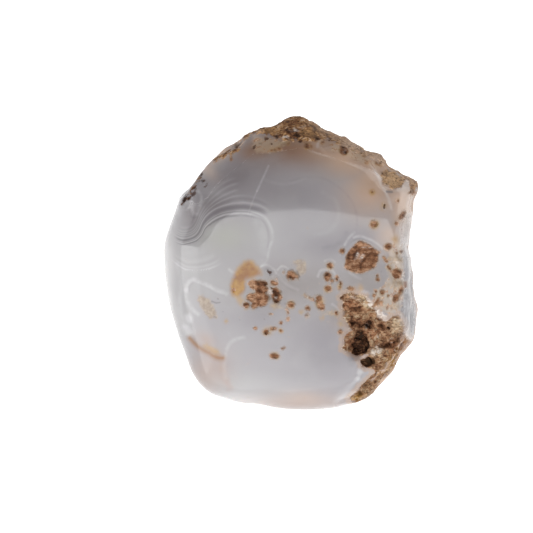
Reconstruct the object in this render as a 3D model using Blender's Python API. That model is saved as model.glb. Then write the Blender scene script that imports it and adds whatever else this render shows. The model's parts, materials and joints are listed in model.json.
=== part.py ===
"""A polished agate: one freeform stone, a little larger than a hen's egg and flatter.

The stone lies on its back. Its polished face looks up +Z, +Y runs to the lumpy rind at
the top of the face, and +X to the broken side. The left and lower edges are rolled over
and polished. The top and right edges keep their rough rind, a lower layer stands out as
a ledge on the right, and the lower right of the face is broken open behind a ridge. The
back is rounded and ground flat where it rests, at z = 0.

Sizes are in millimetres, and MM turns them into Blender's metres. Angles are in degrees,
anticlockwise from +X as seen from the face.
"""

import math

import bmesh
import bpy
from mathutils import Matrix, Vector, noise

MM = 0.001

# Driving dimensions
WIDTH = 61.2
LENGTH = 70.6
THICKNESS = 30.0

# The mesh: a divided cube, turned so that no corner of it falls on the broken ground and
# a row of its vertices runs down the stone's upper right corner
SQUARES_PER_SIDE = 28
GRID_TURN = 24.0
SHARE_POWER = 0.8

# The stone's edge seen from the face: (angle, distance from the middle)
OUTLINE = (
    (0, 30.1), (7, 29.2), (14, 30.3), (20, 31.8), (24, 32.8), (28, 34.1), (31.9, 36.4),
    (35, 35.4), (40, 34.7), (45, 33.1), (49, 33.2), (55, 33.5), (61, 33.2), (67, 33.1),
    (73, 32.4), (79, 33.2), (83, 34.4), (88, 35.1), (92, 34.8), (97, 33.9), (105, 33.6),
    (111, 32.9), (118, 32.0), (129, 31.1), (140, 30.5), (148, 31.5), (153, 31.0), (160, 30.8),
    (170, 31.0), (180, 30.6), (190, 30.4), (200, 30.8), (206, 31.1), (212, 31.8), (220, 33.0),
    (228, 35.0), (236, 36.1), (244, 35.6), (250, 35.2), (257, 34.5), (264, 34.8), (273, 35.2),
    (283, 35.9), (289, 36.5), (295, 37.4), (300, 37.5), (306, 36.5), (312, 36.5), (316, 36.1),
    (321, 35.1), (328, 35.5), (333, 34.7), (338, 33.2), (344, 32.3), (350, 30.9),
)

# The stone's profile from the middle of the face to its edge, by angle:
# (angle, height of the widest line, share of the radius where the face starts to roll over)
PROFILE = (
    (0, 9.0, 0.84),
    (30, 12.0, 0.74),
    (60, 11.0, 0.62),
    (90, 10.0, 0.56),
    (120, 12.0, 0.58),
    (150, 14.0, 0.60),
    (180, 15.0, 0.56),
    (225, 15.0, 0.54),
    (270, 14.0, 0.56),
    (300, 10.0, 0.70),
    (318, 8.0, 0.84),
    (335, 8.0, 0.84),
)
FACE_ROLL = 2.3
BACK_ROLL_START = 0.10
DOME_RADIUS_X = 95.0
DOME_RADIUS_Y = 78.0
GROUND_OFF = 3.2
SWELL_HEIGHT = 0.55
SWELL_LENGTH = 24.0

# Rough rind, broken ground and its ridge, as rounded strips: (x1, y1, x2, y2, half width)
RIND = (
    (-13.0, 31.0, -2.0, 33.0, 3.2),
    (-2.0, 33.0, 8.0, 31.5, 3.8),
    (8.0, 31.5, 20.0, 25.5, 3.0),
    (22.0, 24.0, 30.0, 18.0, 3.0),
    (24.5, 17.0, 27.0, 19.0, 3.4),
    (-26.0, 17.0, -22.5, 20.5, 1.8),
    (25.5, 2.0, 27.0, -9.0, 2.2),
)
BROKEN = (
    (14.5, -9.5, 16.2, -18.5, 2.8),
    (17.5, -13.0, 25.5, -17.5, 3.2),
    (25.5, -19.0, 20.0, -27.0, 3.6),
    (19.5, -27.0, 14.5, -33.0, 2.4),
)
RIDGE = (
    (25.6, -20.9, 22.4, -24.5, 0.6),
    (22.4, -24.5, 16.7, -29.5, 0.6),
    (16.7, -29.5, 13.3, -33.4, 0.5),
)
STRIP_BORDER = 1.2
RIND_RELIEF = 0.8
RIND_SUNK = 0.3
BROKEN_RELIEF = 1.0
BROKEN_SUNK = 1.1
RIDGE_HEIGHT = 0.7
RELIEF_LENGTH = 4.4
RELIEF_ROUGHNESS = 0.9
RELIEF_OCTAVES = 2

# Heights between which marks of the face and relief of the side fade in
FACE_FADE = (4.0, 12.0)
RIND_FADE = (1.0, 6.0)
SIDE_FADE = (0.8, 5.0)

# The natural skin of the side: (first angle, last angle), its share of the radius, its top
UNPOLISHED_ANGLES = (-68.0, 128.0)
UNPOLISHED_SHARE = (0.72, 0.90)
UNPOLISHED_TOP = (20.0, 14.0)
SIDE_RELIEF = 0.5
SIDE_RELIEF_LENGTH = 6.0
ANGLE_BORDER = 8.0

# The frosted side above the ledge of the lower layer, set back between two angles
LEDGE_ANGLES = (-34.0, -2.0)
LEDGE_TOP = (10.5, 12.3)
LEDGE_FACE = (24.0, 17.0)
LEDGE_DEPTH = 1.3

# Hollows in the face: (x, y, radius along x, radius along y, depth)
HOLLOWS = (
    (16.0, -19.5, 3.0, 3.4, 1.5),
    (24.5, -18.0, 3.6, 2.2, 0.9),
    (18.6, -23.6, 2.8, 1.8, 1.0),
    (15.6, -12.5, 2.6, 2.4, 0.7),
    (16.9, 1.6, 4.2, 3.9, 0.5),
    (-7.3, -6.6, 4.4, 3.8, 0.5),
    (-3.6, -6.3, 1.7, 3.2, 0.6),
    (16.0, 25.9, 1.7, 1.7, 0.7),
    (-13.2, 28.8, 1.6, 1.2, 0.9),
    (-25.2, 15.6, 1.3, 2.2, 0.9),
)
HOLLOW_RIM = (1.15, 0.45)

# Lumps of rind that stand out: (x, y, z, radius, height)
LUMPS = (
    (0.5, 33.5, 15.0, 4.0, 0.9),
    (6.5, 32.0, 10.0, 3.4, 0.7),
    (21.5, 25.0, 14.0, 3.6, 0.7),
    (29.5, 17.5, 14.0, 3.2, 0.6),
    (29.8, -12.0, 7.0, 3.4, 0.7),
    (28.0, -19.5, 8.0, 3.6, 0.7),
)
LUMP_RIM = (1.6, 0.2)

# One light smoothing takes the folds out of the rough ground
SMOOTH_SHARE = 0.35

# Finish
CHALCEDONY = (0.42, 0.41, 0.42, 1.0)
POLISH_ROUGHNESS = 0.12
SHARP_ANGLE = 50.0


def clear_scene():
    """Removes the startup objects."""
    for item in list(bpy.data.objects):
        bpy.data.objects.remove(item)


def between(table, angle):
    """The values of a (angle, value, ...) table at any angle, by a smooth periodic curve."""
    angle %= 360
    count = len(table)
    after = next((i for i, row in enumerate(table) if row[0] > angle), count)
    rows = [table[(after + k) % count] for k in (-2, -1, 0, 1)]
    start = rows[1][0]
    span = (rows[2][0] - start) % 360
    t = ((angle - start) % 360) / span
    values = []
    for column in range(1, len(table[0])):
        a, b, c, d = (row[column] for row in rows)
        bend = 2 * a - 5 * b + 4 * c - d
        twist = 3 * (b - c) + d - a
        values.append(b + 0.5 * t * (c - a + t * (bend + t * twist)))
    return values


def fade(ends, value):
    """0 at the first end and beyond, 1 at the second, and a smooth change between them."""
    zero, one = ends
    t = min(1.0, max(0.0, (value - zero) / (one - zero)))
    return t * t * (3 - 2 * t)


def between_angles(x, y, first, last):
    """1 between two angles seen from the face, 0 outside them, turning over a border."""
    angle = math.degrees(math.atan2(y, x))
    started = fade((first - ANGLE_BORDER, first + ANGLE_BORDER), angle)
    return started * fade((last + ANGLE_BORDER, last - ANGLE_BORDER), angle)


def inside_strips(strips, x, y):
    """1 well inside any of the strips, 0 outside, turning over a border."""
    found = 0.0
    here = Vector((x, y))
    for x1, y1, x2, y2, half_width in strips:
        start = Vector((x1, y1))
        along = Vector((x2, y2)) - start
        share = min(1.0, max(0.0, (here - start).dot(along) / along.length_squared))
        gap = (here - start - along * share).length - half_width
        found = max(found, fade((STRIP_BORDER, -STRIP_BORDER), gap))
    return found


def stone_point(direction):
    """The smooth stone's surface, in millimetres, for a direction on the unit sphere."""
    angle = math.degrees(math.atan2(direction.y, direction.x))
    (radius,) = between(OUTLINE, angle)
    widest, roll_start = between(PROFILE, angle)
    share = math.hypot(direction.x, direction.y) ** SHARE_POWER
    x = radius * share * math.cos(math.radians(angle))
    y = radius * share * math.sin(math.radians(angle))
    if direction.z > 0:
        dome = THICKNESS - x * x / (2 * DOME_RADIUS_X) - y * y / (2 * DOME_RADIUS_Y)
        rolled = max(0.0, (share - roll_start) / (1 - roll_start))
        z = widest + (dome - widest) * max(0.0, 1 - rolled**FACE_ROLL) ** 0.5
    else:
        rolled = max(0.0, (share - BACK_ROLL_START) / (1 - BACK_ROLL_START))
        z = widest - (widest + GROUND_OFF) * max(0.0, 1 - rolled**2) ** 0.5
    return Vector((x, y, z))


def unpolished_side(x, y, z):
    """1 on the natural skin of the top and right sides and below them, 0 on polish."""
    (radius,) = between(OUTLINE, math.degrees(math.atan2(y, x)))
    outer = fade(UNPOLISHED_SHARE, math.hypot(x, y) / radius)
    return between_angles(x, y, *UNPOLISHED_ANGLES) * outer * fade(UNPOLISHED_TOP, z)


def rugged(point, length):
    """Uneven height between about -1 and 1, whose lumps are about that long."""
    return noise.fractal(point / length, RELIEF_ROUGHNESS, 2.0, RELIEF_OCTAVES)


def relief(point):
    """How far the surface stands out of the smooth stone at a point, in millimetres."""
    x, y, z = point
    height = SWELL_HEIGHT * noise.noise(point / SWELL_LENGTH)
    on_face = fade(FACE_FADE, z)
    rind = inside_strips(RIND, x, y) * fade(RIND_FADE, z)
    height += rind * (RIND_RELIEF * rugged(point, RELIEF_LENGTH) - RIND_SUNK)
    broken = inside_strips(BROKEN, x, y) * on_face
    height += broken * (BROKEN_RELIEF * rugged(point, RELIEF_LENGTH) - BROKEN_SUNK)
    height += RIDGE_HEIGHT * inside_strips(RIDGE, x, y) * on_face
    side = unpolished_side(x, y, z) * fade(SIDE_FADE, z)
    height += SIDE_RELIEF * side * rugged(point, SIDE_RELIEF_LENGTH)
    set_back = between_angles(x, y, *LEDGE_ANGLES) * fade(LEDGE_TOP, z) * fade(LEDGE_FACE, z)
    height -= LEDGE_DEPTH * set_back
    for at_x, at_y, radius_x, radius_y, depth in HOLLOWS:
        gap = math.hypot((x - at_x) / radius_x, (y - at_y) / radius_y)
        height -= depth * on_face * fade(HOLLOW_RIM, gap)
    for at_x, at_y, at_z, radius, rise in LUMPS:
        gap = (point - Vector((at_x, at_y, at_z))).length / radius
        height += rise * fade(LUMP_RIM, gap)
    return height


def smooth_rough_ground(body):
    """Evens out the vertices of the broken ground a little."""
    rough = [v for v in body.verts if v.co.z > 0 and inside_strips(BROKEN, v.co.x, v.co.y) > 0]
    bmesh.ops.smooth_vert(
        body, verts=rough, factor=SMOOTH_SHARE, use_axis_x=True, use_axis_y=True, use_axis_z=True
    )


def fitted(points):
    """The points ground off flat at z = 0, centred on the origin and brought to the driving sizes."""
    ground = [Vector((p.x, p.y, max(0.0, p.z))) for p in points]
    low, high = (Vector(pick(p[k] for p in ground) for k in range(3)) for pick in (min, max))
    middle = Vector(((low.x + high.x) / 2, (low.y + high.y) / 2, low.z))
    sizes = Vector((WIDTH, LENGTH, THICKNESS))
    scale = Vector(sizes[k] / (high[k] - low[k]) for k in range(3))
    return [(p - middle) * scale for p in ground]


def agate_material():
    """The plain finish of the polished chalcedony."""
    material = bpy.data.materials.new("polished_chalcedony")
    material.use_nodes = True
    surface = material.node_tree.nodes["Principled BSDF"]
    surface.inputs["Base Color"].default_value = CHALCEDONY
    surface.inputs["Roughness"].default_value = POLISH_ROUGHNESS
    surface.inputs["Metallic"].default_value = 0.0
    return material


def build_agate(collection):
    """Shapes a finely divided cube into the stone."""
    mesh = bpy.data.meshes.new("agate")
    body = bmesh.new()
    bmesh.ops.create_cube(body, size=2.0)
    bmesh.ops.subdivide_edges(
        body, edges=body.edges[:], cuts=SQUARES_PER_SIDE - 1, use_grid_fill=True
    )
    turn = Matrix.Rotation(math.radians(GRID_TURN), 3, "Z")
    for vertex in body.verts:
        # Equal angles instead of equal steps keep the squares alike all over.
        even = Vector(math.tan(c * math.pi / 4) for c in vertex.co)
        vertex.co = stone_point(turn @ even.normalized())
    body.normal_update()
    shaped = [vertex.co + vertex.normal * relief(vertex.co) for vertex in body.verts]
    for vertex, point in zip(body.verts, shaped):
        vertex.co = point
    smooth_rough_ground(body)
    for vertex, point in zip(body.verts, fitted([vertex.co for vertex in body.verts])):
        vertex.co = point * MM
    bmesh.ops.recalc_face_normals(body, faces=body.faces[:])
    body.to_mesh(mesh)
    body.free()
    mesh.shade_smooth()
    mesh.set_sharp_from_angle(angle=math.radians(SHARP_ANGLE))
    mesh.materials.append(agate_material())
    stone = bpy.data.objects.new("agate", mesh)
    collection.objects.link(stone)
    return stone


def main():
    clear_scene()
    collection = bpy.data.collections.new("polished_agate")
    bpy.context.scene.collection.children.link(collection)
    build_agate(collection)


main()
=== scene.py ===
"""The look of a polished agate that lies on its back on a pale floor, seen from straight above.

The stone is one piece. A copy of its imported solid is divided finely, the rough ground and the
pits are pressed into it, and its bands, inclusions and rind are painted by procedural nodes.
Sizes are in metres, most of them written as millimetres times MM. Marks of the face have their
places in pixels of the photograph, as (across, down) in its 533 by 533 frame, because that is
how they were read. photo_places() says where each point of the stone shows in that frame.
"""

import json
import math

import bpy
import numpy as np
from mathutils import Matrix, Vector

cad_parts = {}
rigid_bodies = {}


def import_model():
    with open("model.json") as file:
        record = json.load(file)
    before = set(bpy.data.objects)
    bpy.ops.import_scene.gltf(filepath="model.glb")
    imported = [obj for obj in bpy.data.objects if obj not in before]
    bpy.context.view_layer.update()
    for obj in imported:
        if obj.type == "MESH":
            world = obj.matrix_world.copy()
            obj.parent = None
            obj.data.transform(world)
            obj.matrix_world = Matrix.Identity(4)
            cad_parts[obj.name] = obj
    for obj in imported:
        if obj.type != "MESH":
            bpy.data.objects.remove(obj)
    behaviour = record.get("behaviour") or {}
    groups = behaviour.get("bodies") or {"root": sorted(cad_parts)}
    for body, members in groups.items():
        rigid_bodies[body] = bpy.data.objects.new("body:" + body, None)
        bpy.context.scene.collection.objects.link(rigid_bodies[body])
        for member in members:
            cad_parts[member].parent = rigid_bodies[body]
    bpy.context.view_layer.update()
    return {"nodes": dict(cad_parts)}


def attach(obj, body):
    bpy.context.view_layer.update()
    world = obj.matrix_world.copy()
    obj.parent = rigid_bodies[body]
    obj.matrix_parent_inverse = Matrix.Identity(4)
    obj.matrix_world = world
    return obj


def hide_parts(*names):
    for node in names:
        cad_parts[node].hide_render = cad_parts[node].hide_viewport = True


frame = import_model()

MM = 0.001

# The photograph's frame, and the camera that stands for it
PHOTO_SIZE = 533
PHOTO_MIDDLE = PHOTO_SIZE / 2
STONE_IN_PHOTO = (291.5, 263.0)
PIXEL = 0.24 * MM
OUTLINE_HEIGHT = 13.5 * MM
CAMERA_HEIGHT = 0.60
CAMERA_X = (PHOTO_MIDDLE - STONE_IN_PHOTO[0]) * PIXEL
CAMERA_Y = (STONE_IN_PHOTO[1] - PHOTO_MIDDLE) * PIXEL
SENSOR = 36.0
LENS = SENSOR * (CAMERA_HEIGHT - OUTLINE_HEIGHT) / (PHOTO_SIZE * PIXEL)

# The studio: a tent of soft light that is open on the far side, where its edge shows in the
# polish
TENT_HEIGHT = 1.30
TENT_HALF_WIDTH = 2.2
TENT_EDGE_ANGLE = 21.0
TENT_FAR_EDGE = TENT_HEIGHT * math.tan(math.radians(TENT_EDGE_ANGLE))
TOP_BRIGHTNESS = 2.5
LEFT_BRIGHTNESS = 3.2
NEAR_BRIGHTNESS = 2.2
RIGHT_BRIGHTNESS = 1.4
ROOM_BRIGHTNESS = 0.5

# How bright a white surface shows in this light, so that a pigment can be named by the
# colour that it shows
LIGHT_GAIN = 1.70

# How strongly the two finishes reflect: 0.5 is a plain polished surface
POLISH_SPECULAR = 0.5
ROUGH_SPECULAR = 0.06
POLISH_ROUGHNESS = 0.07

# Pigments, each by the sRGB colour that it shows out of the tent's reflection
PIGMENTS = {
    "chalcedony": (142, 139, 142),
    "taupe": (114, 107, 110),
    "umber": (122, 92, 74),
    "rind_shade": (130, 102, 84),
    "tan_haze": (178, 149, 127),
    "warm_haze": (184, 160, 142),
    "milk": (160, 159, 158),
    "greenish_milk": (148, 148, 140),
    "lilac": (118, 113, 119),
    "dusk": (112, 102, 98),
    "blush": (150, 130, 120),
    # The white of the veins, also the colour of the painted highlight along the rind's edge
    "white_vein_and_highlight": (205, 205, 206),
    # The white of the painted rim light, which stands for the reflection of the bright surroundings
    "painted_rim_light": (206, 204, 203),
    "dark_vein": (92, 86, 92),
    "ochre": (126, 76, 0),
    "ochre_pale": (160, 120, 44),
    "orange": (128, 84, 34),
    "rust": (150, 100, 70),
    "brown_dark": (68, 42, 28),
    "brown": (120, 82, 58),
    "brown_light": (176, 138, 110),
    "tan": (158, 125, 96),
    "tan_light": (184, 164, 136),
    "flake_dark": (134, 112, 88),
    "flake": (162, 142, 116),
    "olive": (116, 92, 62),
    "core": (62, 48, 38),
    "quartz": (208, 198, 190),
    "rind_dark": (50, 32, 22),
    "rind": (108, 72, 48),
    "rind_light": (172, 132, 90),
    "rind_cream": (200, 174, 152),
    "patch_cream": (212, 178, 140),
    "lower_layer": (192, 172, 162),
}

# Soft regions of the face, among them the painted rim light: pigment, strength, and (across, down, half
# width, half height, turn)
TONES = (
    ("milk", 0.58, ((190, 262, 26, 34, 0), (176, 320, 18, 60, 14), (240, 386, 50, 16, 0))),
    ("milk", 0.35, ((228, 284, 46, 26, 0), (266, 232, 14, 28, 0), (215, 174, 9, 15, 24))),
    ("greenish_milk", 0.80, ((226, 236, 27, 18, 0),)),
    ("taupe", 0.95, ((232, 176, 48, 24, -14), (214, 204, 24, 16, 0), (190, 214, 11, 18, 0))),
    ("taupe", 0.50, ((282, 192, 50, 18, 0),)),
    ("umber", 1.00, ((298, 148, 60, 20, 3), (262, 149, 24, 12, -10), (346, 153, 32, 10, 26))),
    ("rind_shade", 0.75, ((266, 145, 18, 7, -8), (302, 142, 28, 6, 0), (338, 149, 22, 6, 24))),
    ("tan_haze", 1.00, ((374, 182, 30, 36, 20), (346, 162, 38, 18, 22))),
    ("umber", 0.85, ((260, 148, 20, 9, -12), (282, 147, 12, 7, 0))),
    ("warm_haze", 0.50, ((207, 168, 7, 13, -40),)),
    ("tan_haze", 0.45, ((406, 214, 9, 26, 0), (392, 256, 12, 14, 0), (338, 324, 8, 9, 0))),
    ("warm_haze", 0.90, ((403, 206, 14, 34, 0), (388, 236, 14, 14, 0), (222, 154, 14, 6, -35))),
    ("lilac", 0.80, ((330, 342, 46, 48, 0), (332, 246, 34, 14, 0), (384, 272, 14, 26, 0))),
    ("lilac", 0.50, (
        (268, 270, 9, 6, 30), (290, 282, 18, 8, 20), (262, 318, 30, 14, 0), (360, 236, 26, 12, 0))),
    ("dusk", 0.70, ((300, 287, 60, 28, 0), (364, 287, 44, 30, 0), (378, 308, 18, 12, 0))),
    ("dusk", 0.55, ((336, 314, 14, 18, 0), (380, 307, 18, 12, 0), (262, 290, 22, 14, 0))),
    # Painted rim light: the left and bottom rims are whitened in colour for the reflection of the bright
    # surroundings and the light through the thin edge
    ("painted_rim_light", 0.55, ((166, 264, 9, 40, 0), (166, 300, 8, 30, 0), (242, 401, 46, 8, 4))),
    ("blush", 0.70, ((208, 372, 22, 26, 20), (300, 404, 66, 9, 0), (206, 340, 12, 8, 30))),
    ("warm_haze", 0.35, ((302, 397, 26, 8, 0),)),
)

# The swirl's growth bands follow these curves, from the oldest to the youngest. Between two
# curves the band number runs evenly from one whole number to the next.
FIRST_BAND = -1
BAND_CURVES = (
    ((170, 258), (178.4, 265.3), (186.4, 270.1), (196.7, 271.2), (208.2, 269.6), (219.7, 264.7),
     (229, 257), (238, 246), (245, 234), (250, 222)),
    ((170, 240), (180.5, 245), (188.6, 244.2), (197.5, 240.8), (202.9, 235), (205.8, 229),
     (210.9, 225), (218, 220.9), (228, 218), (240.4, 217.4), (250, 218.6), (259, 223), (266, 232)),
    ((170, 232), (180, 238.2), (188.6, 238), (195.4, 234.6), (199.4, 229), (202.4, 221.6),
     (208, 214.6), (217, 208.8), (229, 205), (243, 203.6), (256, 205.6), (268, 211), (280, 221)),
    ((171, 222), (180, 230.8), (187.4, 231), (193, 228.4), (197, 222.6), (200.4, 214),
     (206, 204.6), (215, 195.6), (227, 187), (243, 183), (262, 186), (280, 196)),
    ((174, 210), (181, 221), (187, 222.6), (191.4, 219), (194.4, 211.6), (198.4, 201),
     (206, 190), (217, 179), (232, 170), (252, 165)),
)
# How light each band is: (band number, lightness from -1 for dark to 1 for white)
BANDS = (
    (-1.09, 0.0), (-1.0, 0.6), (-0.92, 0.05), (-0.86, 0.28), (-0.78, -0.08), (-0.66, 0.18),
    (-0.52, 0.0), (-0.10, 0.2), (0.02, 0.0), (0.10, -0.75), (0.18, -0.5), (0.28, 0.62),
    (0.37, 0.15), (0.43, -0.4), (0.50, 0.2), (0.60, -0.35), (0.72, -0.75), (0.86, -0.6),
    (0.96, 0.0), (1.05, 0.38), (1.15, -0.05), (1.26, -0.35), (1.40, 0.25), (1.52, -0.2),
    (1.66, 0.25), (1.82, -0.15), (2.0, 0.2), (2.2, -0.1), (2.4, 0.15), (2.7, 0.0),
)
BANDED_AREA = (
    (190, 236, 15, 14, 0), (206, 222, 16, 16, -40), (228, 208, 24, 13, -20), (250, 207, 20, 11, 10),
    (196, 210, 9, 22, 14), (222, 192, 20, 12, -40), (196, 262, 24, 13, 0),
)

# Lines of the face, among them one painted highlight: pigment, strength, width, and the points that they
# pass through. Each line has an odd number of points, and every second stretch of it bends through its
# middle point.
LINES = (
    ("white_vein_and_highlight", 0.20, 1.9, ((268.5, 166), (263, 178), (257, 191))),
    ("white_vein_and_highlight", 0.10, 1.5, ((257, 191), (252, 203), (248, 214))),
    ("white_vein_and_highlight", 0.22, 3.0, ((252, 212.4), (264, 216.6), (269.6, 224.6), (272.6, 234), (271.4, 244))),
    ("dark_vein", 0.22, 2.0, ((252, 216), (260, 218.6), (266, 226), (268.6, 236), (267.4, 247))),
    ("white_vein_and_highlight", 0.20, 2.8, ((192, 208), (193.4, 213), (197, 214))),
    ("white_vein_and_highlight", 0.20, 2.8, ((198.4, 191.4), (201.4, 198), (199.4, 205))),
    ("dark_vein", 0.28, 2.4, ((190, 212), (193, 218), (197, 217))),
    ("white_vein_and_highlight", 0.10, 9.0, ((258, 222), (264, 238), (263, 261))),
    ("white_vein_and_highlight", 0.16, 2.5, ((271.6, 242), (269, 250), (267.8, 257), (266, 261), (262, 265))),
    ("white_vein_and_highlight", 0.25, 2.2, ((260.8, 266.8), (267, 265), (272.2, 267.9), (274.6, 270), (276, 273))),
    ("white_vein_and_highlight", 0.25, 2.2, ((277.9, 269.8), (282.4, 266.2), (287.5, 268.5))),
    ("white_vein_and_highlight", 0.10, 3.0, ((278.6, 275), (285, 283), (297.7, 289.5))),
    ("dark_vein", 0.22, 2.0, ((277, 276), (283, 284), (295, 291))),
    ("white_vein_and_highlight", 0.17, 4.2, ((177.4, 264), (180.8, 280), (180, 296), (180.4, 311), (185, 327))),
    ("white_vein_and_highlight", 0.32, 4.4, (
        (186.4, 290), (188.2, 283), (193, 279.8), (202, 283.6), (210.5, 287), (217.6, 291), (226, 293))),
    ("dark_vein", 0.18, 2.0, (
        (189, 291), (190.6, 284.6), (194, 282.4), (202, 286), (210, 289.4), (216, 293), (224, 295.4))),
    ("white_vein_and_highlight", 0.23, 4.0, ((186.4, 290), (188.4, 303), (198, 314))),
    ("white_vein_and_highlight", 0.17, 3.8, ((243.8, 337.6), (229.6, 343.6), (225.4, 356), (224, 364), (225.4, 378))),
    ("blush", 0.60, 7.0, ((221, 359), (223, 372), (229, 388))),
    ("white_vein_and_highlight", 0.19, 2.8, ((229.4, 269.6), (231.4, 271.4), (234, 272.6))),
    ("dark_vein", 0.10, 2.4, ((291, 181), (308.6, 177), (325, 179), (338, 186.6), (348, 196))),
    ("dark_vein", 0.12, 2.4, ((348, 196), (356, 212), (355.6, 232))),
    ("white_vein_and_highlight", 0.06, 4.2, ((323, 193), (337, 203), (338.8, 214), (334, 227), (316, 234.4))),
    ("white_vein_and_highlight", 0.05, 3.0, ((265, 179.6), (284, 184), (305, 178))),
    ("dark_vein", 0.24, 4.4, ((346, 233), (338, 244), (324, 248))),
    ("white_vein_and_highlight", 0.27, 2.4, ((344.8, 244.7), (348.8, 238.2), (354.3, 232.6))),
    ("white_vein_and_highlight", 0.23, 2.5, ((354, 237.4), (360, 236.2), (366, 238.3), (374, 241.6), (382.4, 248.4))),
    ("dark_vein", 0.26, 2.0, ((351, 242.6), (359, 238.8), (368, 241), (374, 244), (381, 251))),
    # A painted highlight: a thin glint of the polish along the rind's edge, drawn as a line in the veins'
    # white
    ("white_vein_and_highlight", 0.33, 2.5, ((371.9, 165.5), (377, 174), (381.4, 185.6), (386.8, 194.6), (391.5, 209.5))),
    ("warm_haze", 0.35, 3.4, ((321, 148.3), (331, 156.8), (345, 159), (358, 160.6), (371.9, 165.5))),
    ("white_vein_and_highlight", 0.19, 2.5, ((317.4, 147), (318.2, 143), (319.9, 138.7))),
    ("tan_light", 0.45, 1.8, ((304, 295.3), (309, 298), (313, 299.7))),
    ("white_vein_and_highlight", 0.17, 2.5, ((332.4, 304.4), (336, 307), (338.8, 311.3))),
    ("white_vein_and_highlight", 0.23, 2.8, ((318.1, 276), (320.7, 271), (326, 269.6), (332.6, 270.6), (335, 275))),
    ("white_vein_and_highlight", 0.16, 2.8, ((349.9, 272.4), (354, 275.6), (360.7, 278.5))),
    ("white_vein_and_highlight", 0.19, 2.2, ((325, 261), (329.6, 259.4), (334.6, 262))),
    ("tan_light", 0.85, 2.2, ((386, 365.3), (378, 372), (370, 378.3), (366, 382), (362, 385.5))),
    ("lower_layer", 0.60, 3.6, ((413.6, 258), (413.6, 280), (416, 305), (417.6, 318), (416, 337))),
    ("white_vein_and_highlight", 0.23, 3.2, ((408.6, 251), (409.8, 276), (411.4, 300), (412.6, 318), (410, 337))),
    ("quartz", 0.12, 4.4, ((394, 369), (385, 378), (376, 389), (367, 397), (357, 402))),
)

ORANGE_VEIN = ((189.9, 338.2), (199, 347.2), (209.4, 353.1), (215.6, 357), (222.6, 358))

# Where the marks of the face are. An outline is given corner by corner, and an ellipse as
# (across, down, half width, half height, turn in degrees).
BROWN_OUTLINES = (
    ((248, 283.8), (250.5, 281.3), (255, 280.3), (260.7, 280.4), (265.2, 281.3), (267.4, 283.8),
     (266.7, 286.4), (268.6, 288.5), (267.7, 291.5), (265, 293.4), (269, 295.3), (269.8, 299.1),
     (267.7, 302.3), (265.2, 304.8), (263.3, 306.8), (258.2, 306.1), (256.3, 308), (253.7, 309.3),
     (251.6, 308), (250.3, 305.5), (252.4, 302.9), (249.2, 301.2), (246, 299.7), (246, 296.6),
     (248.6, 294), (253.1, 293.2), (256.5, 292.4), (254.3, 289.5), (249.9, 287)),
    ((272.2, 288.3), (276, 287), (279.2, 289.5), (281.1, 293.4), (281.4, 296.6), (280.5, 299.7),
     (278.6, 302.9), (276, 304.2), (274.1, 301.7), (272.2, 297.8), (271.4, 294), (271.2, 290.8)),
    ((358.2, 241.5), (363.3, 241.4), (368.4, 244), (372.2, 246.8), (376, 249.4), (380, 252.3),
     (378.4, 255.4), (378.2, 261.9), (375.8, 264.2), (374.7, 267.6), (370.9, 269.8),
     (365.8, 271.7), (361.4, 273.4), (356.9, 272.9), (351.8, 271.7), (346.7, 269.7),
     (344.6, 265.7), (345.8, 260.6), (345.8, 255.5), (348.4, 252), (351.6, 248.2), (355, 244.4)),
)
BROWN_ELLIPSES = (
    (246.6, 305.2, 3.8, 2.8, 0), (273.8, 283.2, 3.4, 2.6, 20), (291.3, 275.5, 4.9, 4.4, 0),
    (291.3, 304.8, 3.7, 3.2, 0), (318.8, 297.8, 3.4, 3, 0), (320.7, 306.4, 4.2, 3.2, 50),
    (327.6, 276.6, 3.9, 3.9, 0), (327.9, 288.7, 3.4, 2.8, 0), (350.6, 288.7, 3.8, 2, 8),
    (388.5, 246.6, 3.6, 3.2, 0), (266.2, 332.4, 3.4, 2.8, 0), (273.3, 328.6, 3.2, 1.9, -10),
    (274.8, 356, 4.4, 3, 10), (343.6, 150.2, 4.6, 4.6, 0), (402.5, 215.3, 5.4, 2.6, -52),
    (412.1, 192.3, 3.8, 2.4, -10), (316.6, 139, 3, 2.4, 0), (396.9, 273.4, 5, 5.4, 0),
    (400.9, 291.2, 2.6, 5, 28), (395.8, 298, 3, 4.6, 30), (382.1, 292.5, 2.8, 2.7, 0),
    (307.3, 145.8, 2.8, 3, 0), (374.3, 224.4, 3.8, 3.4, 0),
)
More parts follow.
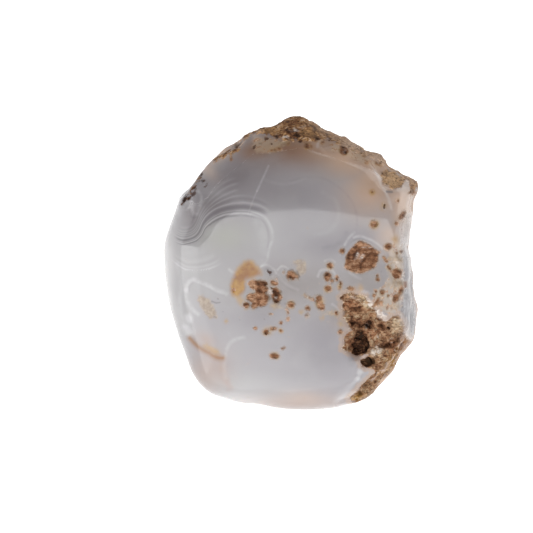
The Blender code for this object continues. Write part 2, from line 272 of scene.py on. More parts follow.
# Small marks: (across, down, half width), or (across, down, across, down, half width) for one
# that runs from one place to another
BROWN_SPOTS = (
    (295.2, 273.4, 298, 278.7, 0.9), (288.1, 280, 0.9), (287.8, 319.5, 1.7), (281, 323, 1.5),
    (307.3, 315.5, 1.9), (307.6, 308.4, 2.5), (304.1, 295.3, 313.4, 299.9, 1.0),
    (317, 301, 323, 305.6, 1.5), (286.2, 308.7, 288.1, 313.1, 0.8), (332, 280.4, 1.8),
    (337.1, 277.6, 336.6, 279.6, 1.4), (340.6, 283.6, 1.7), (340, 287.4, 1.5), (342.5, 251, 2.6),
    (329.8, 265.7, 2.7), (383.4, 257.4, 386.5, 261.3, 1.2), (388, 266.6, 390, 268.8, 1.3),
    (377.6, 279.4, 2.0), (377.3, 275.9, 1.3), (405.7, 283, 405.6, 286, 1.8), (374.1, 295.7, 1.8),
    (376, 291.9, 1.2), (388.1, 295.7, 1.2), (386.9, 307.8, 1.3), (401.2, 251.7, 1.8),
    (370, 308.6, 375.4, 304.4, 1.4), (375.4, 304.4, 378.6, 299, 1.6), (375.6, 304, 381.8, 302, 1.3),
    (340.4, 331.8, 2.4), (336.8, 313, 1.8), (255.3, 328.4, 1.5), (282.2, 349, 284.2, 347.6, 1.1),
    (281.1, 330.7, 1.4), (396.3, 223.4, 1.7), (371.9, 192.3, 1.2), (404.4, 177.9, 1.7),
    (413, 186.6, 1.6), (347, 144.4, 1.8), (352, 148.6, 353.6, 147.6, 1.6), (364.7, 154, 2.3),
    (376.2, 163.1, 1.4), (380.5, 163.1, 1.2), (322.4, 142.5, 1.3), (310.9, 146.4, 1.3),
    (288.3, 143.4, 1.2), (278.9, 148.6, 1.5), (275, 149.6, 1.6), (271.8, 150.3, 1.3),
    (230.8, 155.6, 230.6, 159.4, 0.9), (216.8, 159.8, 0.9), (233, 291, 234, 289, 0.9),
    (283.4, 271.6, 283.4, 273.4, 0.8), (275.7, 279, 276, 280.8, 0.8), (398.2, 200.9, 1.2),
    (270.2, 314.1, 271.4, 314.1, 0.9), (397.1, 253.3, 1.5), (366.2, 162.8, 367.6, 161.8, 1.2),
    (391.6, 309.4, 0.9),
)
GREY_SPOTS = (
    (264.4, 318.9, 1.1), (240, 320.3, 1.0), (303.1, 284.6, 1.1), (303.8, 302.3, 1.0),
    (314.6, 293.7, 1.5), (285, 303.6, 1.3), (381.4, 271.5, 1.0), (386.5, 278.8, 0.9),
    (393.6, 295.6, 0.9), (212, 301.4, 216.6, 303, 0.9), (216.6, 303, 220, 302.4, 0.8),
    (214, 316.6, 216.2, 317.4, 0.9), (291.3, 265.3, 0.9), (387, 191.6, 392, 192, 1.1),
    (218, 298.8, 0.8), (223, 312, 0.8),
)
DARK_SPOTS = (
    (267.4, 270.6, 269.2, 272.2, 1.1), (269.4, 272.6, 272.2, 274.6, 1.5), (259.1, 290.2, 2.5),
    (265.8, 283.8, 1.8), (257.5, 282.4, 261.4, 281.8, 0.8), (261.4, 281.8, 264.5, 283, 0.9),
    (271.6, 288.3, 1.4), (384.8, 204.8, 384.4, 207.6, 1.1), (259.9, 143.6, 1.3),
    (255, 145, 253.7, 148, 1.0), (271.5, 143.9, 1.0), (268.1, 132.4, 1.5), (286.6, 131, 1.2),
    (295, 135.4, 297.4, 134.8, 1.5), (287.4, 137.4, 291, 137.8, 1.0), (277.1, 137.3, 1.0),
    (296.8, 121, 299, 120.6, 1.0), (289.7, 126, 1.0), (311.8, 125.6, 1.0), (314.6, 128.2, 1.0),
    (265, 139, 267.4, 138.8, 0.9), (306.6, 144, 1.4), (343.4, 146.8, 1.6), (346, 152.4, 1.4),
    (329, 140.1, 1.0), (300, 141.7, 1.3), (388.6, 328.9, 1.8), (349, 254, 348.8, 259, 0.9),
    (353.2, 259.3, 357.4, 251, 0.6), (370.9, 252.6, 360.9, 263.8, 0.7), (360.9, 263.8, 361.1, 268.3, 0.6),
    (274, 292, 277, 297, 1.4), (274.6, 299, 277, 301.6, 1.5), (327, 279.6, 1.4), (326.6, 274.6, 1.2),
    (317.2, 138.4, 1.3), (266.4, 333.6, 1.2), (411, 192.6, 413.4, 191.6, 1.2), (290.8, 277, 1.5),
)
# Soft stains round some marks, as spots that fade out from the middle
GLOWS = (
    (226, 321.2, 4.0), (371.9, 192.3, 5.5), (384.2, 206.2, 6.5), (329.6, 265.4, 7.0),
    (374.3, 224.4, 8.0), (388.5, 247, 7.0), (395, 240, 8.0), (274.1, 306.8, 6.0),
    (301.4, 312, 4.5), (322, 317.4, 4.5), (359.4, 288.4, 6.5), (337, 313, 5.5), (274.8, 356, 7.0),
    (268, 331.4, 8.0), (280.8, 330.7, 4.0), (327.8, 288.6, 6.0), (340, 286.6, 5.0),
    (206, 346.8, 217, 352.8, 6.0), (307.4, 145.8, 5.0), (320, 303, 8.0), (291.3, 304.8, 6.5),
    (240, 300, 245, 306, 6.0), (341, 323.6, 6.0), (332, 312.6, 4.0), (353, 148.4, 4.5),
)
# Where the ochre stain is deepest in colour
RUSTY = ((246, 276, 258, 273.6, 9.0),)
OCHRE_OUTLINES = (
    ((248.6, 259.8), (253, 262), (256.9, 266.6), (259.8, 271.7), (261.2, 274.6), (255.6, 275.7),
     (250.5, 277.4), (246, 280), (244.8, 283.2), (246, 287), (244.8, 290.8), (241.6, 294.6),
     (237.8, 296.6), (232.7, 295.3), (230.1, 290.8), (230.7, 284.4), (232.7, 278), (235.2, 272.3),
     (239, 267.2), (244.1, 262.1)),
)
TAN_OUTLINES = (
    ((197.9, 296.3), (202.5, 295.1), (209.4, 299.7), (212.8, 305.4), (216.3, 311.2), (216.8, 318.1),
     (209.4, 319.2), (204.8, 313.5), (200.2, 305.4), (197.3, 300.8)),
    ((279, 141.4), (288, 138.6), (290, 142), (284, 145.4), (279, 146)),
)
TAN_ELLIPSES = (
    (299.2, 262.4, 6.4, 3.4, 0), (301.4, 269, 5.4, 5.6, 0), (397, 260, 5.4, 4.4, 0),
    (389, 267.6, 3.4, 3, 0), (388.8, 284.8, 4, 2, -40), (395.8, 306.5, 5, 2.6, 0),
    (330, 312.8, 8, 1.2, 0), (277, 306, 4, 1.8, 10), (397, 284, 6, 5, 0), (391, 258, 3, 2, 0),
)
BROKEN_OUTLINES = (
    ((340.4, 297.8), (343.6, 293.8), (351.5, 292.6), (357.1, 294.6), (364.3, 297), (367.5, 300.9),
     (370.7, 305.7), (376.2, 309.9), (377.8, 316.9), (385.8, 322.5), (392.2, 316.9), (398.6, 314.5),
     (401.8, 319.3), (405, 326.5), (404.2, 334.4), (410.7, 340.8), (405.8, 346.6), (401, 353.8),
     (398, 361.8), (394.8, 368.7), (387.4, 375.3), (381, 381.7), (377, 388.9), (373.1, 393.5),
     (365.9, 398.2), (356.3, 403), (352.1, 402.2), (349.9, 397.4), (356.3, 391.1), (362.7, 384.5),
     (369.9, 377.3), (375.5, 372.7), (373.1, 369.5), (365.9, 367.1), (361.1, 363.9), (359.5, 359.2),
     (364.3, 357.6), (369.9, 354.4), (364.3, 354.4), (356.3, 355.2), (351.5, 352.8), (342.8, 348.8),
     (344.4, 344), (343.6, 337.6), (348.3, 332.8), (352.1, 330.5), (349.1, 326.5), (345.9, 320.1),
     (342.8, 316.9), (344.4, 311.3), (342, 306.5), (343.6, 302.5)),
)
DARK_OUTLINES = (
    ((356.3, 330.5), (361.9, 329.7), (365.9, 336), (367.5, 340.8), (369.1, 346.4), (367.5, 351.2),
     (364.3, 353.6), (360.3, 352.8), (356.3, 355.2), (351.5, 353.6), (353.9, 348), (351.5, 344.8),
     (354.7, 340), (356.3, 335.2)),
    ((350, 320.4), (353, 319.6), (357.1, 322), (362, 322.4), (368.3, 319.9), (373.1, 321),
     (376, 325), (371, 329.4), (364, 328), (357, 328.4), (352, 325.6)),
    ((360.5, 358.6), (364, 361), (368, 357.6), (374.7, 360.6), (374, 365), (366, 367), (361.4, 363.4)),
)
DARK_ELLIPSES = (
    (381.8, 326.5, 4.6, 2.2, 30), (388, 345.4, 9, 2.6, -4), (397, 341.4, 5, 2, -36),
    (404, 344, 1.9, 6, 40), (397, 349.6, 3.6, 1.8, -34), (379.6, 372.4, 4.4, 2.4, -45),
    (366.6, 383.6, 5, 2, -42), (360.4, 393.4, 2.2, 2.2, 0), (342.6, 297.6, 2.2, 1.4, -20),
    (356, 309.6, 6, 1.8, 10), (388, 364, 3.4, 1.8, -40), (394, 355.4, 2, 1.6, 0),
    (237.2, 145.2, 4.6, 1.9, -38), (201.4, 174.6, 2.2, 1.3, -60), (203, 180.6, 2.6, 2, 45),
    (206.4, 184, 1.4, 2.4, 10), (194.6, 187.4, 1.4, 4, 32), (193.2, 194, 2.2, 2.4, 0),
    (188.9, 198.2, 1.3, 2.4, 20), (184.8, 198.6, 1.8, 6, 26), (182, 204.4, 1.3, 1.4, 0),
    (316.6, 138.4, 2, 1.2, 0), (293, 131.6, 4, 1.2, -10), (303, 134, 3, 1.2, 20),
)
QUARTZ_ELLIPSES = (
    (366.6, 247.4, 4, 2, 0), (362.6, 256.8, 1.6, 3.4, 24), (357.6, 254, 1.2, 4, 30),
    (270, 291.4, 2, 2.8, 0), (370.4, 303, 1.6, 4.4, -28), (380.6, 314.6, 3.2, 8, -44),
    (374.6, 352, 5, 4, -50), (378, 349, 3, 4, 20), (409.6, 338, 1.9, 2.4, 20),
    (367.1, 325.7, 2, 2, 0), (391.8, 340.6, 1.4, 1.4, 0), (355, 298, 3, 1.2, 20),
    (396, 262.4, 4, 1, 10), (403, 276.6, 1.6, 3.6, 10), (391, 299, 1.6, 2.2, 20),
    (276.4, 297.6, 1.2, 1.2, 0), (300, 128.6, 6, 1.4, -20), (286, 137, 5, 1, 10),
    (344, 150.6, 1.5, 1.8, 0), (386, 186.6, 3, 2.4, 0),
)
MILK_ELLIPSES = (
    (188.7, 318.1, 3.4, 5, -14), (188.6, 330.6, 6.6, 4, 48), (359.5, 371.9, 3, 2.4, 0),
    (362.6, 292, 5, 1.2, 10), (357.9, 379, 2, 1.6, 0),
)
RIND_OUTLINES = (
    ((236, 128), (300, 108), (360, 130), (392, 156), (430, 178), (424, 190), (416, 187), (409, 181),
     (401, 175.5), (391, 169), (383, 163.5), (374, 159), (364, 154.5), (354, 150), (344, 145.5),
     (332, 141.5), (320, 138.5), (312, 140.5), (300, 140.5), (290, 141), (281, 139.5), (272, 136),
     (262, 131.5), (252, 134), (244, 140)),
    ((381.4, 172.2), (387.2, 171), (394.8, 171.4), (403.4, 176), (406.3, 178.9), (401.5, 186.6),
     (396.7, 189.4), (389.1, 188.5), (383.3, 185.6), (381.9, 178.9)),
)
RIND_RUNS = (
    (214, 160, 238, 148, 2.0), (182, 204, 201, 176, 1.0), (412, 183, 413, 188, 3.0),
)
# The strip under the rind, and the upper left shoulder, that hardly reflect
MATTE_OUTLINES = (
    ((240, 136), (262, 128), (290, 136), (320, 134), (350, 146), (384, 162), (396, 170), (389, 182),
     (374, 171), (359, 165), (346, 162), (331, 157), (317, 152), (300, 148), (281, 151), (266, 154),
     (252, 153)),
    ((236, 130), (254, 134), (256, 152), (250, 157), (234, 169.5), (217, 184), (208, 197), (196, 204),
     (186, 196), (200, 168), (220, 145)),
)
FROST_OUTLINES = (
    ((401, 246), (409, 250), (411, 262), (413, 300), (414, 322), (411, 338), (404, 334), (404, 326),
     (401, 316), (403, 300), (405, 286), (404, 270), (401.6, 258)),
    ((403, 214), (412, 214), (410, 244), (404, 246), (402, 232)),
)
SPECKLED_OUTLINES = (
    ((394, 240), (404, 246), (403, 262), (405, 284), (402, 300), (399, 312), (390, 314), (380, 309),
     (372, 300), (373, 291), (384, 287), (388, 276), (386, 262), (390, 250)),
    ((254, 136), (280, 140), (281, 149), (270, 153), (256, 152.6), (252, 147)),
    ((330, 143), (352, 150), (368, 158), (382, 165), (380, 169), (364, 163), (346, 156), (332, 150)),
)
# Soft regions of the broken ground and of the rind, laid over their own colours
GROUND_TONES = (
    ("rust", 0.45, (
        (378, 334, 12, 7, 10), (350, 304, 9, 9, 0), (348, 340, 5, 8, 0), (392, 346, 8, 8, 0))),
    ("brown", 0.45, ((349, 343, 6, 11, 0), (391, 345, 9, 7, 0))),
    ("olive", 0.40, ((386, 369, 10, 6, -45), (366, 388, 12, 5, -42), (372, 362, 7, 4, 0))),
    ("tan_light", 0.60, ((398, 326, 8, 9, 0), (362, 298, 8, 4, 14), (376, 352, 8, 5, -20))),
    ("ochre_pale", 0.45, ((357, 398, 6, 4, -30), (392, 362, 5, 8, 30))),
)
RIND_TONES = (
    ("rind", 0.60, ((292, 123, 12, 8, 0), (237, 145, 6, 3, -40))),
    ("rind_light", 0.60, ((270, 131, 10, 4, 0), (308, 132, 10, 5, 20))),
    ("patch_cream", 0.75, ((393, 180, 11, 10, 0),)),
    ("rind_cream", 0.85, (
        (330, 129, 20, 7, 28), (354, 144, 18, 10, 30), (378, 158, 16, 9, 35), (410, 175, 13, 8, 30),
        (408, 202, 10, 14, 0))),
)

# The stone's own grains, as noises: size in millimetres, in one number or by axis, then detail,
# roughness, distortion, and turn about Z in degrees
GRAINS = {
    "veins": ((2.0, 1.1, 1.4), 3.0, 0.6, 0.8, -35),
    "broad": (9.0, 3.0, 0.5, 0.0, 0),
    "wide": (2.4, 3.0, 0.55, 0.0, 0),
    "fine": (1.3, 4.0, 0.6, 0.0, 0),
    "grain": (0.6, 3.0, 0.7, 0.0, 0),
    "flakes": ((2.2, 1.0, 1.4), 4.0, 0.62, 1.0, -40),
    "streaks": ((2.8, 1.0, 1.4), 4.0, 0.6, 0.6, -62),
    "specks": (1.3, 4.0, 0.7, 0.0, 0),
    "threads": ((0.7, 4.0, 3.0), 3.0, 0.6, 0.0, 0),
}
# The middle of a grain's values, about which it varies
GRAIN_MIDDLE = 0.5

# The painted edges of the marks: how far each grain makes an edge wander, and then how soft
# the edge is, in pixels
EDGES = {
    "milk_marks": ({"wide": 2.5}, 2.2),
    "ochre": ({"wide": 3.0}, 3.4),
    "speckled": ({"fine": 4.0}, 2.0),
    "tan": ({"fine": 3.0}, 1.8),
    "grey": ({"grain": 0.6}, 0.6),
    "brown": ({"fine": 3.6}, 1.5),
    "halo": ({"wide": 2.0}, 3.0),
    "dark": ({"fine": 3.5, "wide": 3.0}, 2.4),
    "flaky_dark": ({"flakes": 12.0}, 2.0),
    "broken": ({"fine": 5.0, "wide": 3.0}, 0.9),
    "rind": ({"fine": 5.0, "wide": 4.0}, 1.1),
    "quartz": ({"fine": 3.0}, 1.4),
    "frost": ({"fine": 5.0, "wide": 6.0}, 6.0),
    "matte": ({"fine": 2.0}, 2.0),
}
DARK_STAIN_SOFT = 0.6
FRINGE_REACH = 4.5
FRINGE_SOFT = 2.0
BUMPY_EDGE = 1.0

# The values of a grain between which something comes in. The cracks come in by how far the veins'
# grain is from its middle.
RANGES = {
    "cracks": (0.030, 0.006),
    "clouds": (0.40, 0.70),
    "whole_lines": (0.15, 0.65),
    "glow": (0.25, 0.6),
    "pale_ochre": (0.35, 0.7),
    "specks": (0.52, 0.60),
    "rind_specks": (0.43, 0.36),
    "skin": (0.25, 0.5),
    "quartz": (0.40, 0.60),
    "threads": (0.40, 0.66),
}

# How much each of these covers what is under it
COVER = {
    "clouds": 0.14, "milk_marks": 0.36, "glow": 0.65, "rusty": 0.8, "speckled": 0.35,
    "specks": 0.8, "tan": 0.7, "grey": 0.7, "dark": 0.8, "halo": 0.45, "fringe": 0.5,
    "cracks": 0.7, "rind_specks": 0.75, "skin": 0.9, "quartz": 0.75, "frost": 0.45,
}
# The swirl's light and dark bands: (what their lightness is multiplied by, pigment, cover), and
# how far they waver, in bands
BAND_COVER = ((2.0, "white_vein_and_highlight", 0.5), (-2.0, "dark_vein", 0.75))
BAND_WAVER = 0.08
# The orange vein: (width, cover) of its glow and of its middle
ORANGE_LAYERS = ((6.0, 0.50), (2.8, 0.60))

# The colours of each rough finish, from its hollows to its bright grains
STOPS = {
    "tan": ((0.35, "flake_dark"), (0.65, "flake")),
    "specks": ((0.35, "brown"), (0.5, "rust"), (0.62, "tan_light")),
    "brown": ((0.20, "brown_dark"), (0.48, "brown"), (0.78, "brown_light"), (1.0, "tan_light")),
    "broken": (
        (0.06, "core"), (0.24, "brown_dark"), (0.40, "brown"), (0.60, "tan"), (0.80, "tan_light"),
        (1.0, "quartz")),
    "rind": ((0.16, "rind_dark"), (0.42, "rind"), (0.62, "rind_light"), (0.90, "rind_cream")),
    "skin": ((0.20, "rind"), (0.42, "rind_light"), (0.58, "rind_cream"), (0.80, "lower_layer")),
}
# Where a plain spot lies among those colours, how far a dark hollow is from it, and how strongly
# each grain varies it
SHADES = {
    "tan": (0.5, 0.0, {"fine": 1.6, "grain": 0.8}),
    "brown": (0.52, -0.32, {"streaks": 1.2, "fine": 0.8, "grain": 0.35}),
    "broken": (0.56, -0.32, {"flakes": 1.9, "fine": 1.1, "grain": 0.35}),
    "rind": (0.53, -0.5, {"flakes": 1.4, "fine": 1.0, "grain": 0.7}),
    "skin": (0.55, 0.0, {"wide": 1.4, "flakes": 1.0, "grain": 0.8}),
}

# How dull each finish is next to the polish, from 0 to 1, and how much rougher the dullest is
DULLNESS = {"skin": 0.85, "matte": 0.7, "brown": 0.9, "frost": 0.6}
DULL_ROUGHNESS = 0.68
# How translucent the clear stone is, and how far light spreads in it, by colour
TRANSLUCENCE = 0.35
SCATTER_BY_COLOUR = (1.0, 0.9, 0.8)
SCATTER_DEPTH = 2.5 * MM
AGATE_IOR = 1.54
# The painted bumps of the rough finishes
BUMP_STRENGTH = 0.8
BUMP_HEIGHT = 0.18 * MM

# The mesh: what counts as one point, the widest angle between two triangles that are joined up,
# and the rings of the ground flat
SAME_POINT = 0.001 * MM
WIDEST_PAIR = math.radians(70)
FLAT_FACING = -0.999
FLAT_HEIGHT = 0.01 * MM
FLAT_RINGS = (0.86, 0.80, 0.72, 0.60, 0.35)
DIVISIONS = 2
# What is divided once more, and then the small spots again: from how many pixels outside their
# outlines, and where the surface faces at least this far up
MARKS_FROM, MARKS_LEAN = -1.0, 0.38
SPOTS_FROM, SPOTS_LEAN = -0.9, 0.5

# Relief: height in millimetres, the level of its texture that stays put, and the texture's
# kind, size in millimetres and depth
RELIEF = {
    "skin": (0.5, 0.5, "CLOUDS", 2.4, 2),
    "rind": (0.6, 0.5, "CLOUDS", 1.4, 1),
    "rind_grain": (0.32, 0.5, "VORONOI", 0.7, 1),
    "broken": (1.3, 0.65, "CLOUDS", 1.2, 2),
    "broken_grain": (-0.40, 0.5, "VORONOI", 0.8, 1),
    "core": (-1.5, 0.0, None, 0, 0),
    "pits": (-0.35, 0.0, None, 0, 0),
    "marks": (-0.08, 0.0, None, 0, 0),
    "mark_grain": (0.18, 0.5, "CLOUDS", 0.5, 1),
}
# The depths in pixels between which the relief of each mark comes in
RELIEF_EDGES = {"rind": (-1.0, 1.5), "broken": (-0.5, 1.5), "dark": (-0.5, 2.5), "brown": (-0.5, 1.5)}
WEIGHT_STEPS = 40

# Where the natural skin lies: the angles round the stone in degrees, how far it faces up, and
# how high over the floor it starts. The frost's edge, in pixels, fades it out.
SKIN_START = (-66, -50)
SKIN_END = (112, 132)
SKIN_LEAN = (0.10, 0.45)
SKIN_RISE = (0.6 * MM, 3.0 * MM)
SKIN_AT_FROST = (-7, 7)
# The skin's share from which it is rough, and how deep the frost counts at most, in pixels
SKIN_HALF = 0.5
FROST_BUMP = 0.2
# How far the surface faces up where the marks, and where the relief of the inclusions, come in
FRONT_LEAN = (-0.25, 0.15)
FACE_LEAN = (0.35, 0.75)

# Depths are kept as far as this many pixels from an outline
FAR = 8.0
# The swirl: how far it runs out before its first curve and how thin a band may be, in pixels,
# its number past the last curve, and between which values of its area it comes in
BAND_FADE = 12
THINNEST_BAND = 0.01
PAST_LAST_BAND = 0.1
BANDED_EDGE = (0.2, 0.55)
# How steeply soft regions fall off, how finely curves are followed, and what keeps a division
# from being by nothing
SOFT_FALL = 1.2
CURVE_STEPS = 6
SMALLEST = 1e-9

# The floor, and the colour of the room behind the tent
FLOOR_SIZE = 6.0
PAPER = (0.45, 0.45, 0.45, 1.0)
PAPER_ROUGHNESS = 0.9
PAPER_SPECULAR = 0.1
PAPER_GLOW = 0.85
WHITE = (1.0, 1.0, 1.0, 1.0)
ROOM_COLOUR = (1.0, 0.99, 0.99, 1.0)


def linear(shown):
    """The linear light of an sRGB value between 0 and 255."""
    value = shown / 255
    return value / 12.92 if value <= 0.04045 else ((value + 0.055) / 1.055) ** 2.4


def pigment(name):
    """The reflectance that shows as the named pigment in this light."""
    return tuple(linear(shown) / LIGHT_GAIN for shown in PIGMENTS[name]) + (1.0,)


def only(piece):
    """Selects one object and makes it active."""
    bpy.ops.object.select_all(action="DESELECT")
    piece.select_set(True)
    bpy.context.view_layer.objects.active = piece


def copy_of_solid():
    """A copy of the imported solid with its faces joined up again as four-sided ones."""
    only(frame["nodes"]["agate"])
    bpy.ops.object.duplicate()
    stone = bpy.context.object
    bpy.ops.object.parent_clear(type="CLEAR_KEEP_TRANSFORM")
    stone.name = "agate_stone"
    stone.data.name = "agate_stone"
    for key in list(stone.keys()):
        del stone[key]
    bpy.ops.mesh.customdata_custom_splitnormals_clear()
    bpy.ops.object.mode_set(mode="EDIT")
    bpy.ops.mesh.select_all(action="SELECT")
    bpy.ops.mesh.remove_doubles(threshold=SAME_POINT)
    bpy.ops.mesh.tris_convert_to_quads(face_threshold=WIDEST_PAIR, shape_threshold=WIDEST_PAIR)
    bpy.ops.object.mode_set(mode="OBJECT")
    return stone


def remake_ground_flat(stone):
    """Gives the ground flat rings of even faces in place of its long thin ones."""
    only(stone)
    bpy.ops.object.mode_set(mode="EDIT")
    bpy.ops.mesh.select_all(action="DESELECT")
    bpy.ops.object.mode_set(mode="OBJECT")
    for face in stone.data.polygons:
        face.select = face.normal.z < FLAT_FACING and face.center.z < FLAT_HEIGHT
    bpy.ops.object.mode_set(mode="EDIT")
    bpy.ops.mesh.dissolve_faces()
    for ring in FLAT_RINGS:
        bpy.ops.mesh.extrude_region()
        bpy.ops.transform.resize(value=(ring, ring, 1.0), center_override=(0.0, 0.0, 0.0))
    bpy.ops.mesh.poke()
    bpy.ops.object.mode_set(mode="OBJECT")


def positions(stone):
    """The stone's vertices as an array of points."""
    flat = np.empty(len(stone.data.vertices) * 3, np.float32)
    stone.data.vertices.foreach_get("co", flat)
    return flat.reshape(-1, 3).astype(np.float64)


def normals(stone):
    """The stone's vertex normals as an array."""
    flat = np.empty(len(stone.data.vertices) * 3, np.float32)
    stone.data.vertex_normals.foreach_get("vector", flat)
    return flat.reshape(-1, 3).astype(np.float64)


def move_to(stone, points):
    """Puts the stone's vertices at those points."""
    stone.data.vertices.foreach_set("co", points.astype(np.float32).reshape(-1))
    stone.data.update()


def keep_above_floor(stone):
    """Lifts every vertex that has sunk under the floor back to it."""
    points = positions(stone)
    points[:, 2] = np.maximum(points[:, 2], 0)
    move_to(stone, points)


def subdivide(stone):
    """Divides the stone finely and smooths it, with its subdivision applied."""
    only(stone)
    smoother = stone.modifiers.new("fine_surface", "SUBSURF")
    smoother.levels = DIVISIONS
    smoother.render_levels = DIVISIONS
    bpy.ops.object.modifier_apply(modifier=smoother.name)


def divide(stone):
    """Divides the stone finely, and makes up for how far the smoothing draws its corners in."""
    corners = positions(stone)
    only(stone)
    bpy.ops.object.duplicate()
    trial = bpy.context.object
    subdivide(trial)
    drawn_in = positions(trial)[:len(corners)] - corners
    bpy.data.objects.remove(trial)
    move_to(stone, corners - drawn_in)
    subdivide(stone)
    keep_above_floor(stone)


def divide_faces(stone, chosen):
    """Divides the faces between the chosen vertices once more."""
    only(stone)
    bpy.ops.object.mode_set(mode="EDIT")
    bpy.ops.mesh.select_mode(type="VERT")
    bpy.ops.mesh.select_all(action="DESELECT")
    bpy.ops.object.mode_set(mode="OBJECT")
    stone.data.vertices.foreach_set("select", chosen)
    bpy.ops.object.mode_set(mode="EDIT")
    bpy.ops.mesh.select_mode(type="FACE")
    bpy.ops.mesh.subdivide(number_cuts=1, smoothness=0.0)
    bpy.ops.object.mode_set(mode="OBJECT")


def photo_places(points):
    """The pixel of the photograph at which each point shows, as (across, down)."""
    scale = PIXEL * (CAMERA_HEIGHT - points[:, 2]) / (CAMERA_HEIGHT - OUTLINE_HEIGHT)
    across = PHOTO_MIDDLE + (points[:, 0] - CAMERA_X) / scale
    down = PHOTO_MIDDLE - (points[:, 1] - CAMERA_Y) / scale
    return np.stack((across, down), axis=1)


def smooth_step(low, high, values):
    """0 at low, 1 at high, and a smooth change between them."""
    t = np.clip((values - low) / (high - low), 0, 1)
    return t * t * (3 - 2 * t)


def ellipse_reach(places, across, down, half_width, half_height, turn):
    """How far each place is from an ellipse's middle: 1 on the ellipse itself."""
    angle = math.radians(turn)
    offset = places - (across, down)
    along = offset[:, 0] * math.cos(angle) + offset[:, 1] * math.sin(angle)
    aside = offset[:, 1] * math.cos(angle) - offset[:, 0] * math.sin(angle)
    return np.hypot(along / half_width, aside / half_height)


def gap_to_stretch(places, start, end):
    """The distance from each place to a straight stretch, and which side of it they are on."""
    along = end - start
    offset = places - start
    share = np.clip(offset @ along / max(along @ along, SMALLEST), 0, 1)
    gap = offset - share[:, None] * along
    side = along[0] * offset[:, 1] - along[1] * offset[:, 0]
    return np.hypot(gap[:, 0], gap[:, 1]), side


def near(places, corners, reach):
    """The numbers of the places that lie within reach of those corners' span."""
    corners = np.array(corners, float)
    low, high = corners.min(axis=0) - reach, corners.max(axis=0) + reach
    return np.nonzero(np.all((places > low) & (places < high), axis=1))[0]


def depth_in_outline(places, corners):
    """How deep inside a closed outline each place is, in pixels, and negative outside it."""
    corners = np.array(corners, float)
    nearest = np.full(len(places), np.inf)
    crossed = np.zeros(len(places), int)
    for start, end in zip(corners, np.roll(corners, -1, axis=0)):
        gap, side = gap_to_stretch(places, start, end)
        nearest = np.minimum(nearest, gap)
        level = (start[1] > places[:, 1]) != (end[1] > places[:, 1])
        crossed += level & ((side < 0) == (end[1] > start[1]))
    return np.where(crossed % 2 == 1, nearest, -nearest)


def depth_in_marks(places, outlines=(), ellipses=(), spots=()):
    """How deep inside any of the marks each place is, in pixels, and negative outside them."""
    depth = np.full(len(places), -FAR)
    for corners in outlines:
        here = near(places, corners, FAR)
        depth[here] = np.maximum(depth[here], depth_in_outline(places[here], corners))
    for ellipse in ellipses:
        here = near(places, (ellipse[:2],), max(ellipse[2:4]) + FAR)
        # An ellipse's reach grows by one over its half width in that many pixels.
        found = (1 - ellipse_reach(places[here], *ellipse)) * min(ellipse[2:4])
        depth[here] = np.maximum(depth[here], found)
    for *ends, half_width in spots:
        start, end = np.array(ends[:2]), np.array(ends[-2:])
        here = near(places, (start, end), half_width + FAR)
        found = half_width - gap_to_stretch(places[here], start, end)[0]
        depth[here] = np.maximum(depth[here], found)
    return np.clip(depth, -FAR, FAR)


def glow_about(places, spots):
    """1 in the middle of each glow, and 0 from its reach on."""
    field = np.zeros(len(places))
    for spot in spots:
        field = np.maximum(field, smooth_step(0, spot[-1], depth_in_marks(places, spots=(spot,))))
    return field


def soft_regions(places, regions):
    """1 in the middle of the soft regions, fading out round them."""
    field = np.zeros(len(places))
    for region in regions:
        field = np.maximum(field, np.exp(-ellipse_reach(places, *region) ** 2 * SOFT_FALL))
    return field


def smooth_curve(points):
    """More points on a smooth curve through the given ones."""
    points = np.array(points, float)
    padded = np.concatenate((2 * points[:1] - points[1:2], points, 2 * points[-1:] - points[-2:-1]))
    curve = []
    for a, b, c, d in zip(padded, padded[1:], padded[2:], padded[3:]):
        for step in range(CURVE_STEPS):
            t = step / CURVE_STEPS
            curve.append(b + 0.5 * t * (c - a + t * (2 * a - 5 * b + 4 * c - d + t * (3 * (b - c) + d - a))))
    return np.array(curve + [points[-1]])


def side_of_curve(places, points):
    """The distance from each place to a curve, positive on its upper side."""
    curve = smooth_curve(points)
    nearest = np.full(len(places), np.inf)
    signed = np.zeros(len(places))
    for start, end in zip(curve, curve[1:]):
        gap, side = gap_to_stretch(places, start, end)
        closer = gap < nearest
        nearest = np.where(closer, gap, nearest)
        signed = np.where(closer, -np.sign(side) * gap, signed)
    return signed


def band_numbers(all_places):
    """The number of the growth band that each place is in."""
    numbers = np.zeros(len(all_places))
    here = near(all_places, sum(BAND_CURVES, ()), 0)
    places = all_places[here]
    sides = [side_of_curve(places, curve) for curve in BAND_CURVES]
    last = FIRST_BAND + len(sides) - 1
    before = FIRST_BAND + np.clip(sides[0], -BAND_FADE, 0) / BAND_FADE
    number = np.where(sides[-1] > 0, last + PAST_LAST_BAND, before)
    for step, (lower, upper) in enumerate(zip(sides, sides[1:])):
        between = lower / np.maximum(lower - upper, THINNEST_BAND)
        number = np.where((lower > 0) & (upper <= 0), FIRST_BAND + step + between, number)
    numbers[here] = number
    return numbers


def store(stone, name, values):
    """Keeps a value for each vertex, which the material reads by name."""
    layer = stone.data.attributes.new(name, "FLOAT", "POINT")
    layer.data.foreach_set("value", np.asarray(values, np.float32))


def store_places(stone, places, points):
    """Keeps each vertex's place in the photograph, for the small marks and lines of the face."""
    layer = stone.data.attributes.new("place", "FLOAT_VECTOR", "POINT")
    spread = np.concatenate((places, points[:, 2:] / MM), axis=1)
    layer.data.foreach_set("vector", spread.astype(np.float32).reshape(-1))


